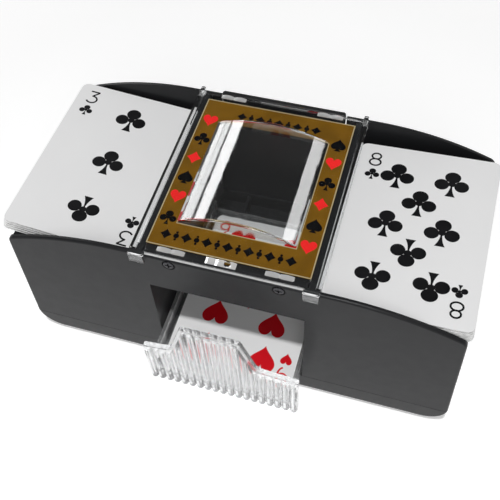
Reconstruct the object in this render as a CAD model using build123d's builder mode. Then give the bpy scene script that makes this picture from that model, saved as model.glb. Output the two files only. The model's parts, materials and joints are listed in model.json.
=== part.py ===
from build123d import *
import os
from math import acos, atan2, cos, pi, radians, sin, tan

# Automatic card shuffler, in millimetres. X runs along the body, Y towards the back, Z up.
# The origin is the centre of the base pan's flat underside, and the rubber feet stand below it.
# Each wing holds a sloped card tray over its own motor, gear train and feed roller, and the
# rollers feed the cards through slots into the middle chamber, where they drop into a drawer.

os.makedirs("parts", exist_ok=True)

# ---- driving dimensions ----
# body
base_length = 207.2
base_depth = 100.0
rim_length = 199.0
rim_depth = 97.2
parting_z = 11.5
rim_z = 87.5
wall = 2.0
seam_gap = 0.25
housing_bottom_z = parting_z + seam_gap
corner_radius = 1.0
rim_flat_x = 45.0
rim_drop_radius = 138.0
rim_drop_angle = 29.0
end_corner_radius = 4.0
foot_height = 4.0

# card trays and middle chamber
partition_inner_x = 35.2
partition_outer_x = 38.0
partition_top_z = 87.0
tray_mid_x = 72.0
tray_mid_z = 71.2
tray_slope = 0.067
tray_floor = 2.0
tray_end_x = 99.5
inner_half_depth = 46.7
wall_root_half_depth = 47.9
tray_rib_height = 1.0
tray_rib_spacing = (-38.0, -13.0, 13.0, 38.0)
feed_slot_height = 2.4
opening_half_width = 34.7
opening_top_z = 64.9

# cards
card_width = 63.0
card_length = 88.0
card_corner = 3.2
card_clearance = 0.2

# clear cover
cover_half_depth_front = 48.2
cover_back_y = 45.2
cover_bottom_z = 87.9
cover_thickness = 1.5
cover_rail_inner_x = 38.2
cover_rail_outer_x = 40.4
cover_rail_bottom_z = 84.0
window_half_width = 25.8
window_front_y = -29.6
window_back_y = 28.5
dome_rise = 6.2
dome_wall = 1.4
label_half_width = 35.3
label_half_depth = 42.3
label_thickness = 0.4

# drawer
panel_back_y = -63.0
panel_wall = 2.2
rib_count = 19
rib_radius = 1.75
panel_half_width = 36.5
panel_bottom_z = 6.5
panel_low_z = 38.6
shoulder_fall = 2.2
panel_hump_z = 60.8
hump_x = -2.9
hump_top_half = 13.4
hump_base_half = 20.6
hump_root_radius = 5.0
hump_top_radius = 1.5
rib_top_gap = 1.3
drawer_half_width = 34.0
drawer_floor_z = 12.2
drawer_floor = 1.8
drawer_side_z = 26.0
drawer_back_z = 20.0
drawer_inner_back_y = 27.2
drawer_wall = 1.6
drawer_rail_x = 20.0
drawer_rail_z = 11.9

# drive, one per wing, with every axis along Y
gear_module = 0.8
pressure_angle = radians(20)
addendum = 0.85
dedendum = 1.1
tooth_share = 0.46
roller_teeth = 20
idler_small_teeth = 12
idler_big_teeth = 36
pinion_teeth = 10
roller_x = 51.0
roller_z = 58.7
roller_radius = 12.0
hub_radius = 8.5
tyre_width = 10.0
tyre_spacing = (-26.0, 0.0, 26.0)
shaft_radius = 2.0
running_gap = 0.05
idler_reach = gear_module * (roller_teeth + idler_small_teeth) / 2
motor_reach = gear_module * (idler_big_teeth + pinion_teeth) / 2
idler_x = roller_x + idler_reach * cos(radians(45))
idler_z = roller_z - idler_reach * sin(radians(45))
motor_z = idler_z - motor_reach
motor_front_y = 34.1
motor_radius = 10.0
motor_height = 15.0
motor_length = 25.4
plate_back_y = 36.2
plate_thickness = 2.0
slow_gear_y = 37.2
slow_gear_width = 3.6
fast_gear_y = 41.7
fast_gear_width = 2.8
plate_boss_places = ((75.5, 60.5), (43.0, 36.5), (76.0, 30.5))
web_y = -40.0
web_thickness = 3.0

# battery bays in the base pan
bay_x = 76.3
bay_width = 31.0
bay_length = 61.2
bay_wall = 1.4
bay_roof_z = 18.6
cell_radius = 7.1
cell_length = 49.0
cell_z = 10.0
cell_offset = 7.75
door_width = 33.4
door_length = 64.0
door_thickness = 1.1
base_post_x = 91.0
base_post_y = 45.0

# push bar
bar_half_length = 29.8
bar_front_y = 45.7
bar_back_y = 48.5
bar_bottom_z = 83.0
bar_top_z = 89.4
bar_leg_x = 20.0
bar_leg_y = 44.0
bar_leg_width = 3.0
bar_guide_z = (74.5, 80.0)
bar_spring_seat_z = 76.5
bar_spring_radius = 2.5
bar_wall_cut_z = 80.0
screw_front_x = 23.5
screw_front_z = 84.2

sides = (("left", -1), ("right", 1))


def save(part, name):
    """Label a finished piece and write it as one STEP file."""
    part.label = name
    export_step(part, f"parts/{name}.step")


def body_half_depth(z):
    """Outer half depth of the drafted housing at a height."""
    share = (z - parting_z) / (rim_z - parting_z)
    return (base_depth + (rim_depth - base_depth) * share) / 2


def tray_z(x):
    """Height of the tray floor at a distance from the middle of the body."""
    return tray_mid_z + (abs(x) - tray_mid_x) * tray_slope


def across(x, y, z):
    """Plane facing the front at y, with local X along X and local Y along Z."""
    return Plane(origin=(x, y, z), x_dir=(1, 0, 0), z_dir=(0, -1, 0))


def tray_plane(side, x, y, lift, turn):
    """Plane lying on a sloped tray, lifted off its floor and turned by a few degrees."""
    origin = (x, y, tray_z(x) + lift)
    tilt = atan2(tray_slope, 1)
    along = (cos(tilt), 0, side * sin(tilt))
    normal = (-side * sin(tilt), 0, cos(tilt))
    return Plane(origin=origin, x_dir=along, z_dir=normal).rotated((0, 0, turn))


def gear_face(plane, teeth, phase, bore):
    """Involute gear face on a plane, with one tooth centred at the phase angle."""
    pitch_radius = gear_module * teeth / 2
    base_radius = pitch_radius * cos(pressure_angle)
    tip_radius = pitch_radius + addendum * gear_module
    root_radius = pitch_radius - dedendum * gear_module
    start_radius = max(base_radius, root_radius)
    half_at_pitch = tooth_share * pi / teeth

    def half_angle(radius):
        flank = acos(min(1, base_radius / radius))
        involute = (tan(flank) - flank) - (tan(pressure_angle) - pressure_angle)
        return half_at_pitch - involute

    flank_radii = [start_radius, pitch_radius, tip_radius]
    flank_points = [(root_radius, half_angle(start_radius))]
    flank_points += [(radius, half_angle(radius)) for radius in flank_radii]
    points = []
    for tooth in range(teeth):
        middle = phase + 2 * pi * tooth / teeth
        for radius, half in flank_points:
            points.append((radius * cos(middle - half), radius * sin(middle - half)))
        for radius, half in reversed(flank_points):
            points.append((radius * cos(middle + half), radius * sin(middle + half)))
    with BuildSketch(plane) as face:
        with BuildLine():
            Polyline(*points, close=True)
        make_face()
        Circle(bore, mode=Mode.SUBTRACT)
    return face.sketch


# ---- housing ----
def end_view(inset):
    """The drafted body seen from its end, inset from the outer faces."""
    with BuildSketch(Plane.YZ) as view:
        with BuildLine():
            Polyline(
                (base_depth / 2 - inset, housing_bottom_z),
                (rim_depth / 2 - inset, rim_z + (1 if inset else 0)),
                (-rim_depth / 2 + inset, rim_z + (1 if inset else 0)),
                (-base_depth / 2 + inset, housing_bottom_z),
                close=True,
            )
        make_face()
    return view.sketch


def front_view(inset):
    """The drafted body seen from the front, inset from the outer faces."""
    with BuildSketch(Plane.XZ) as view:
        with BuildLine():
            Polyline(
                (base_length / 2 - inset, housing_bottom_z),
                (rim_length / 2 - inset, rim_z + (1 if inset else 0)),
                (-rim_length / 2 + inset, rim_z + (1 if inset else 0)),
                (-base_length / 2 + inset, housing_bottom_z),
                close=True,
            )
        make_face()
    return view.sketch


with BuildPart() as cavity:
    extrude(front_view(wall), amount=base_depth, both=True)
    extrude(end_view(wall), amount=base_length, both=True, mode=Mode.INTERSECT)

with BuildPart() as housing:
    # the rim falls away in an arc towards each end
    with BuildSketch(Plane.XZ) as side_view:
        add(front_view(0))
        with BuildLine():
            drop = CenterArc((rim_flat_x, rim_z - rim_drop_radius), rim_drop_radius, 90, -rim_drop_angle)
            Polyline(drop @ 1, ((drop @ 1).X, rim_z + 1), (rim_flat_x, rim_z + 1), drop @ 0)
        make_face(mode=Mode.SUBTRACT)
        split(bisect_by=Plane.YZ, keep=Keep.TOP)
        mirror(about=Plane.YZ)
        fillet(side_view.vertices().filter_by_position(Axis.Y, rim_z - 16, rim_z - 6), end_corner_radius)
    extrude(amount=base_depth, both=True)
    extrude(end_view(0), amount=base_length, both=True, mode=Mode.INTERSECT)
    corners = housing.edges().filter_by_position(Axis.Z, housing_bottom_z + 20, rim_z - 20)
    fillet(corners, corner_radius)
    add(cavity.part, mode=Mode.SUBTRACT)
    # sloped tray floors, open over the end walls
    with BuildSketch(Plane.XZ):
        with BuildLine():
            Polyline(
                (partition_inner_x, tray_z(partition_inner_x) - tray_floor),
                (tray_end_x, tray_z(tray_end_x) - tray_floor),
                (tray_end_x, tray_z(tray_end_x)),
                (partition_inner_x, tray_z(partition_inner_x)),
                close=True,
            )
        make_face()
        mirror(about=Plane.YZ)
    extrude(amount=wall_root_half_depth, both=True)
    with BuildSketch(Plane.XZ):
        with BuildLine():
            Polyline(
                (tray_end_x - 10, tray_z(tray_end_x - 10)),
                (tray_end_x + 10, tray_z(tray_end_x + 10)),
                (tray_end_x + 10, rim_z + 1),
                (tray_end_x - 10, rim_z + 1),
                close=True,
            )
        make_face()
        mirror(about=Plane.YZ)
    extrude(amount=inner_half_depth, both=True, mode=Mode.SUBTRACT)
    # partitions between the wings and the chamber, each with a low feed slot
    partition_middle = (partition_inner_x + partition_outer_x) / 2
    partition_width = partition_outer_x - partition_inner_x
    with BuildSketch(Plane.XY.offset(housing_bottom_z)):
        with Locations((-partition_middle, 0), (partition_middle, 0)):
            Rectangle(partition_width, 2 * wall_root_half_depth - 0.6)
    extrude(amount=partition_top_z - parting_z - seam_gap)
    with BuildSketch(Plane.XZ):
        with BuildLine():
            Polyline(
                (partition_inner_x - 1, tray_z(partition_inner_x - 1)),
                (partition_outer_x + 1, tray_z(partition_outer_x + 1)),
                (partition_outer_x + 1, tray_z(partition_outer_x + 1) + feed_slot_height),
                (partition_inner_x - 1, tray_z(partition_inner_x - 1) + feed_slot_height),
                close=True,
            )
        make_face()
        mirror(about=Plane.YZ)
    extrude(amount=inner_half_depth - 1.2, both=True, mode=Mode.SUBTRACT)
    # low ribs that the cards lie on
    for rib_y in tray_rib_spacing:
        with BuildSketch(Plane.XZ.offset(-rib_y)):
            with BuildLine():
                Polyline(
                    (63, tray_z(63) - 0.3),
                    (97, tray_z(97) - 0.3),
                    (97, tray_z(97) + tray_rib_height),
                    (63, tray_z(63) + tray_rib_height),
                    close=True,
                )
            make_face()
            mirror(about=Plane.YZ)
        extrude(amount=0.6, both=True)
    # slots for the feed rollers
    slot_places = [(side * roller_x, y, tray_z(roller_x)) for _, side in sides for y in tyre_spacing]
    with Locations(*slot_places):
        Box(18, tyre_width + 2, 8, mode=Mode.SUBTRACT)
    # web that carries the front end of each roller shaft
    web_top = tray_z(roller_x) - 0.9
    web_places = [(side * roller_x, web_y, web_top - 8.5) for _, side in sides]
    with Locations(*web_places):
        Box(14, web_thickness, 17)
    with BuildSketch(Plane.XZ.offset(-web_y - web_thickness)):
        with Locations((-roller_x, roller_z), (roller_x, roller_z)):
            Circle(3.5)
    extrude(amount=2 * web_thickness, mode=Mode.SUBTRACT)
    # bosses on the back wall that carry the gear plates
    boss_places = [(side * x, z) for _, side in sides for x, z in plate_boss_places]
    with BuildSketch(Plane.XZ.offset(-wall_root_half_depth)):
        with Locations(*boss_places):
            Circle(3)
    extrude(amount=wall_root_half_depth - plate_back_y)
    with BuildSketch(Plane.XZ.offset(-44)):
        with Locations(*boss_places):
            Circle(1.2)
    extrude(amount=44 - plate_back_y, mode=Mode.SUBTRACT)
    # posts for the base screws
    post_places = [(x * base_post_x, y * base_post_y) for x in (-1, 1) for y in (-1, 1)]
    with BuildSketch(Plane.XY.offset(housing_bottom_z)):
        with Locations(*post_places):
            Circle(3.5)
    extrude(amount=30)
    with BuildSketch(Plane.XY.offset(housing_bottom_z)):
        with Locations(*post_places):
            Circle(1.25)
    extrude(amount=12, mode=Mode.SUBTRACT)
    # drawer opening in the front wall, and the gap in the back wall for the push bar
    opening_height = opening_top_z - parting_z
    with Locations((0, -base_depth / 2, opening_top_z - opening_height / 2)):
        Box(2 * opening_half_width, 12, opening_height, mode=Mode.SUBTRACT)
    with Locations((0, base_depth / 2 - 1, bar_wall_cut_z + 10)):
        Box(2 * bar_half_length + 1, 8, 20, mode=Mode.SUBTRACT)
    # guides for the push bar's legs
    guide_height = bar_guide_z[1] - bar_guide_z[0]
    guide_places = [(side * bar_leg_x, bar_leg_y) for _, side in sides]
    with Locations(*[(x, y + 0.3, sum(bar_guide_z) / 2) for x, y in guide_places]):
        Box(8, 6, guide_height)
    with Locations(*[(x, y, sum(bar_guide_z) / 2) for x, y in guide_places]):
        Box(bar_leg_width + 0.4, bar_leg_width + 0.4, guide_height + 1, mode=Mode.SUBTRACT)
    with BuildSketch(Plane.XY.offset(bar_spring_seat_z)):
        with Locations(*guide_places):
            Circle(bar_spring_radius + 0.2)
    extrude(amount=5, mode=Mode.SUBTRACT)
    # countersunk screw holes in the front wall
    with BuildSketch(Plane.XZ.offset(body_half_depth(screw_front_z) + 0.1)):
        with Locations((-screw_front_x, screw_front_z), (screw_front_x, screw_front_z)):
            Circle(2.9)
    extrude(amount=-1.2, mode=Mode.SUBTRACT)
    with BuildSketch(Plane.XZ.offset(body_half_depth(screw_front_z))):
        with Locations((-screw_front_x, screw_front_z), (screw_front_x, screw_front_z)):
            Circle(1.3)
    extrude(amount=-2 * wall, mode=Mode.SUBTRACT)
save(housing.part, "housing")

# ---- base pan ----
pan_arc = parting_z
pan_end_x = base_length / 2 - pan_arc


def pan_profile(inset):
    """Upright profile of the pan, with ends that curve up, drawn inside its outer line."""
    with BuildSketch(Plane.XZ) as profile:
        with BuildLine():
            Line((-pan_end_x, inset), (pan_end_x, inset))
            right_end = CenterArc((pan_end_x, parting_z), pan_arc - inset, -90, 90)
            Line(right_end @ 1, (-(right_end @ 1).X, parting_z))
            CenterArc((-pan_end_x, parting_z), pan_arc - inset, 180, 90)
        make_face()
    return profile.sketch


with BuildPart() as base_pan:
    extrude(pan_profile(0), amount=base_depth / 2, both=True)
    for end_face in (base_pan.faces().sort_by(Axis.Y)[0], base_pan.faces().sort_by(Axis.Y)[-1]):
        lower_edges = end_face.edges().filter_by_position(Axis.Z, -1, parting_z - 1)
        fillet(lower_edges, 1.2)
    extrude(pan_profile(wall), amount=base_depth / 2 - wall, both=True, mode=Mode.SUBTRACT)
    # locating lip that stands up inside the housing
    with BuildSketch(Plane.XY.offset(parting_z - 2.5)):
        Rectangle(base_length - 1.7 * wall, base_depth - 1.7 * wall)
        Rectangle(base_length - 3.4 * wall, base_depth - 3.6 * wall, mode=Mode.SUBTRACT)
    extrude(amount=2.4)
    with BuildSketch(Plane.XY.offset(parting_z - 0.2)):
        Rectangle(base_length - 2.5 * wall, base_depth - 2.5 * wall)
        Rectangle(base_length - 3.4 * wall, base_depth - 3.6 * wall, mode=Mode.SUBTRACT)
    extrude(amount=1.9)
    with Locations((0, -base_depth / 2, parting_z + 1.5)):
        Box(2 * partition_outer_x + 2, 12, 3, mode=Mode.SUBTRACT)
    with Locations((-partition_middle, 0, parting_z + 1.5), (partition_middle, 0, parting_z + 1.5)):
        Box(partition_width + 1, base_depth, 3, mode=Mode.SUBTRACT)
    # screw bosses
    with BuildSketch(Plane.XY.offset(wall / 2)):
        with Locations(*post_places):
            Circle(4)
    extrude(amount=parting_z - wall / 2)
    with BuildSketch(Plane.XY.offset(parting_z)):
        with Locations(*post_places):
            Circle(4.3)
    extrude(amount=3, mode=Mode.SUBTRACT)
    with BuildSketch(Plane.XY):
        with Locations(*post_places):
            Circle(1.7)
    extrude(amount=parting_z + 1, mode=Mode.SUBTRACT)
    with BuildSketch(Plane.XY):
        with Locations(*post_places):
            Circle(3.2)
    extrude(amount=4, mode=Mode.SUBTRACT)
    # rails that carry the drawer's floor
    rail_middle_z = drawer_rail_z / 2 + 0.5
    with Locations((-drawer_rail_x, 0, rail_middle_z), (drawer_rail_x, 0, rail_middle_z)):
        Box(1.6, base_depth - 3 * wall, drawer_rail_z - 1)
    # battery bays, open below, with a recess for each door
    bay_centres = [(side * bay_x, 0) for _, side in sides]
    with BuildSketch(Plane.XY.offset(wall / 2)):
        with Locations(*bay_centres):
            Rectangle(bay_width + 2 * bay_wall, bay_length + 2 * bay_wall)
    extrude(amount=bay_roof_z + 1.2 - wall / 2)
    with BuildSketch(Plane.XY.offset(-1)):
        with Locations(*bay_centres):
            Rectangle(bay_width, bay_length)
    extrude(amount=bay_roof_z + 1, mode=Mode.SUBTRACT)
    with BuildSketch(Plane.XY.offset(-1)):
        with Locations(*bay_centres):
            Rectangle(door_width + 0.6, door_length + 0.6)
    extrude(amount=1 + door_thickness + 0.1, mode=Mode.SUBTRACT)
save(base_pan.part, "base_pan")

# ---- rubber feet ----
foot_places = [(x * 73, y * 40.5) for x in (-1, 1) for y in (-1, 1)]
with BuildPart() as rubber_feet:
    with BuildSketch(Plane.XY):
        with Locations(*foot_places):
            SlotOverall(26, 15)
    extrude(amount=-foot_height)
    fillet(rubber_feet.faces().group_by(Axis.Z)[0].edges(), 1.0)
save(rubber_feet.part, "rubber_feet")

# ---- front rail under the cover's front edge ----
rail_back_y = -41.9
rail_front_y = -46.6
rail_bottom_z = 80.0
with BuildPart() as front_rail:
    with BuildSketch(Plane.XY.offset(rail_bottom_z)):
        with Locations((0, (rail_back_y + rail_front_y) / 2)):
            Rectangle(2 * partition_inner_x - 0.8, rail_back_y - rail_front_y)
    extrude(amount=partition_top_z - rail_bottom_z)
    with BuildSketch(Plane.XZ.offset(-rail_front_y + 0.1)):
        with Locations((-screw_front_x, screw_front_z), (screw_front_x, screw_front_z)):
            Circle(1.15)
    extrude(amount=-4, mode=Mode.SUBTRACT)
save(front_rail.part, "front_rail")

# ---- clear cover with its domed window ----
cover_top_z = cover_bottom_z + cover_thickness
rail_middle_x = (cover_rail_inner_x + cover_rail_outer_x) / 2
rail_width = cover_rail_outer_x - cover_rail_inner_x
dome_half = window_half_width
dome_radius = (dome_half**2 + dome_rise**2) / (2 * dome_rise)
dome_centre_z = cover_top_z + dome_rise - dome_radius


def dome_face(y, inset):
    """Circular segment over the window, standing on the cover's top face."""
    radius = dome_radius - inset
    floor_z = cover_top_z - (0 if inset == 0 else cover_thickness + 1)
    half_width = dome_half - inset
    with BuildSketch(Plane.XZ.offset(-y)) as face:
        with Locations((0, dome_centre_z)):
            Circle(radius)
        with Locations((0, floor_z + dome_radius)):
            Rectangle(2 * half_width, 2 * dome_radius, mode=Mode.INTERSECT)
    return face.sketch


with BuildPart() as clear_cover:
    with BuildSketch(Plane.XY.offset(cover_bottom_z)):
        with Locations((0, (cover_back_y - cover_half_depth_front) / 2)):
            Rectangle(2 * cover_rail_outer_x, cover_back_y + cover_half_depth_front)
    extrude(amount=cover_thickness)
    # raised side rails that reach down into the trays, and over the back rim
    for _, side in sides:
        with Locations((side * rail_middle_x, 0, (cover_rail_bottom_z + cover_top_z) / 2)):
            Box(rail_width, 2 * inner_half_depth - 1.0, cover_top_z - cover_rail_bottom_z)
        with Locations((side * rail_middle_x, -0.1, cover_bottom_z + 1)):
            Box(rail_width, 2 * cover_half_depth_front - 0.2, 2)
    # front lugs that hook over the rim
    for _, side in sides:
        with BuildSketch(Plane.XY.offset(cover_top_z + 0.5)):
            with Locations((side * 36.95, -47.4)):
                RectangleRounded(6.9, 6.2, 2.2)
        extrude(amount=-2.0)
        with BuildSketch(Plane.XY.offset(cover_top_z)):
            with Locations((side * 36.95, -49.8)):
                RectangleRounded(6.9, 1.4, 0.6)
        extrude(amount=-5.4)
    # raised front lip
    with Locations((0, -47.6, cover_top_z + 0.2)):
        Box(2 * cover_rail_outer_x - 12, 1.2, 0.6)
    # window and dome
    with BuildSketch(Plane.XY.offset(cover_bottom_z)):
        with Locations((0, (window_front_y + window_back_y) / 2)):
            Rectangle(2 * window_half_width, window_back_y - window_front_y)
    extrude(amount=cover_thickness, mode=Mode.SUBTRACT)
    extrude(dome_face(window_back_y, 0), amount=window_back_y - window_front_y)
    with BuildSketch(Plane.XY.offset(cover_bottom_z)):
        with Locations((0, (window_front_y + window_back_y) / 2)):
            Rectangle(2 * window_half_width, window_back_y - window_front_y)
    extrude(amount=cover_thickness)
    dome_hollow = dome_face(window_back_y - dome_wall, dome_wall)
    extrude(dome_hollow, amount=window_back_y - window_front_y - 2 * dome_wall, mode=Mode.SUBTRACT)
    # tabs that hold the label insert, front and back
    for tab_x, tab_y in ((-23.1, -45.0), (23.1, -45.0), (-23.1, 43.9), (23.1, 43.9)):
        with Locations((tab_x, tab_y, cover_top_z + 0.3)):
            Box(12.4, 2.2, 0.8)
    # latch pad with its small boss
    with Locations((-1.5, -45.2, cover_top_z + 0.2)):
        Box(13, 3.0, 0.6)
    with BuildSketch(Plane.XY.offset(cover_top_z)):
        with Locations((1.2, -45.0)):
            Circle(1.4)
    extrude(amount=1.3)
save(clear_cover.part, "clear_cover")

# ---- label insert under the cover ----
with BuildPart() as label_insert:
    with BuildSketch(Plane.XY.offset(cover_bottom_z - label_thickness - 0.05)):
        RectangleRounded(2 * label_half_width, 2 * label_half_depth, 0.8)
        with Locations((0, (window_front_y + window_back_y) / 2)):
            Rectangle(2 * window_half_width, window_back_y - window_front_y, mode=Mode.SUBTRACT)
    extrude(amount=label_thickness)
save(label_insert.part, "label_insert")

# ---- drawer: a clear tray behind a ribbed front panel with a raised thumb piece ----
rib_pitch = (2 * panel_half_width - 2 * rib_radius) / (rib_count - 1)
rib_places = [
    (rib * rib_pitch - panel_half_width + rib_radius, panel_back_y - panel_wall)
    for rib in range(rib_count)
]


def panel_face(drop):
    """Outline of the drawer's front, with shoulders that fall outwards, its top edges lowered by drop."""
    low_z = panel_low_z - drop
    high_z = panel_hump_z - drop
    base_half = hump_base_half - drop
    top_half = hump_top_half - drop
    with BuildSketch(Plane.XZ.offset(-panel_back_y)) as outline:
        with BuildLine():
            Polyline(
                (-panel_half_width, panel_bottom_z),
                (panel_half_width, panel_bottom_z),
                (panel_half_width, low_z - shoulder_fall),
                (hump_x + base_half, low_z),
                (hump_x + top_half, high_z),
                (hump_x - top_half, high_z),
                (hump_x - base_half, low_z),
                (-panel_half_width, low_z - shoulder_fall),
                close=True,
            )
        make_face()
        corners = outline.vertices().filter_by_position(Axis.Z, low_z - 1, low_z + 1)
        hump_root = corners.filter_by_position(Axis.X, -25, 22)
        fillet(hump_root, hump_root_radius)
        fillet(outline.vertices().filter_by_position(Axis.Z, high_z - 0.1, high_z + 0.1), hump_top_radius)
    return outline.sketch


with BuildPart() as ribs:
    with BuildSketch(Plane.XY.offset(panel_bottom_z)):
        with Locations(*rib_places):
            Circle(rib_radius)
    extrude(amount=panel_hump_z - panel_bottom_z)
    extrude(panel_face(rib_top_gap), amount=panel_wall + rib_radius, mode=Mode.INTERSECT)

with BuildPart() as drawer:
    # the panel's wall, with its half-round ribs ending a little below its top edge
    extrude(panel_face(0), amount=panel_wall)
    add(ribs.part)
    # tray: floor, two sides and a low back wall
    tray_back_y = drawer_inner_back_y + drawer_wall
    tray_middle_y = (panel_back_y + tray_back_y) / 2
    with BuildSketch(Plane.XY.offset(drawer_floor_z)):
        with Locations((0, tray_middle_y)):
            Rectangle(2 * drawer_half_width, tray_back_y - panel_back_y)
    extrude(amount=drawer_floor)
    with BuildSketch(Plane.XY.offset(drawer_floor_z)):
        for _, side in sides:
            with Locations((side * (drawer_half_width - drawer_wall / 2), tray_middle_y)):
                Rectangle(drawer_wall, tray_back_y - panel_back_y)
    extrude(amount=drawer_side_z - drawer_floor_z)
    with BuildSketch(Plane.XY.offset(drawer_floor_z)):
        with Locations((0, tray_back_y - drawer_wall / 2)):
            Rectangle(2 * drawer_half_width, drawer_wall)
    extrude(amount=drawer_back_z - drawer_floor_z)
save(drawer.part, "drawer")

# ---- push bar along the back rim ----
with BuildPart() as push_bar:
    with BuildSketch(Plane.XY.offset(bar_bottom_z)):
        with Locations((0, (bar_front_y + bar_back_y) / 2)):
            RectangleRounded(2 * bar_half_length, bar_back_y - bar_front_y, 1.3)
    extrude(amount=bar_top_z - bar_bottom_z)
    fillet(push_bar.faces().sort_by(Axis.Z)[-1].edges(), 0.7)
    with Locations((0, (bar_leg_y - bar_leg_width / 2 + bar_back_y - 0.5) / 2, bar_bottom_z + 0.9)):
        Box(2 * bar_leg_x + 6, bar_back_y - 0.5 - bar_leg_y + bar_leg_width / 2, 1.8)
    for _, side in sides:
        with Locations((side * bar_leg_x, bar_leg_y, bar_bottom_z - 5.75)):
            Box(bar_leg_width, bar_leg_width, 11.5)
        with Locations((side * bar_leg_x, bar_leg_y, bar_guide_z[0] - 1.6)):
            Box(bar_leg_width + 1.4, bar_leg_width, 2.8)
    with Locations((0, bar_leg_y, bar_bottom_z - 3.2)):
        Box(4, 1.8, 6.5)
save(push_bar.part, "push_bar")

# ---- return springs round the push bar's legs, as plain sleeves of the coils' outer size ----
with BuildPart() as bar_springs:
    with BuildSketch(Plane.XY.offset(bar_spring_seat_z + 0.05)):
        with Locations(*guide_places):
            Circle(bar_spring_radius)
            Circle(bar_spring_radius - 0.35, mode=Mode.SUBTRACT)
    extrude(amount=bar_bottom_z - bar_spring_seat_z - 0.1)
save(bar_springs.part, "bar_springs")

# ---- switch under the push bar: the bar's finger dips into its slot ----
switch_z = (71.5, 79.0)
with BuildPart() as switch_block:
    with Locations((0, 44.2, sum(switch_z) / 2)):
        Box(11, 5.0, switch_z[1] - switch_z[0])
    with Locations((0, bar_leg_y, switch_z[1] - 2.5)):
        Box(4.8, 2.6, 5.2, mode=Mode.SUBTRACT)
save(switch_block.part, "switch_block")

with BuildPart() as switch_tags:
    for _, side in sides:
        with Locations((side * 7.25, 44.2, switch_z[0] + 1.5)):
            Box(3.5, 2.4, 0.4)
        with Locations((side * 8.8, 44.2, switch_z[0] + 3.2)):
            Box(0.4, 2.4, 3.8)
save(switch_tags.part, "switch_tags")

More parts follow.
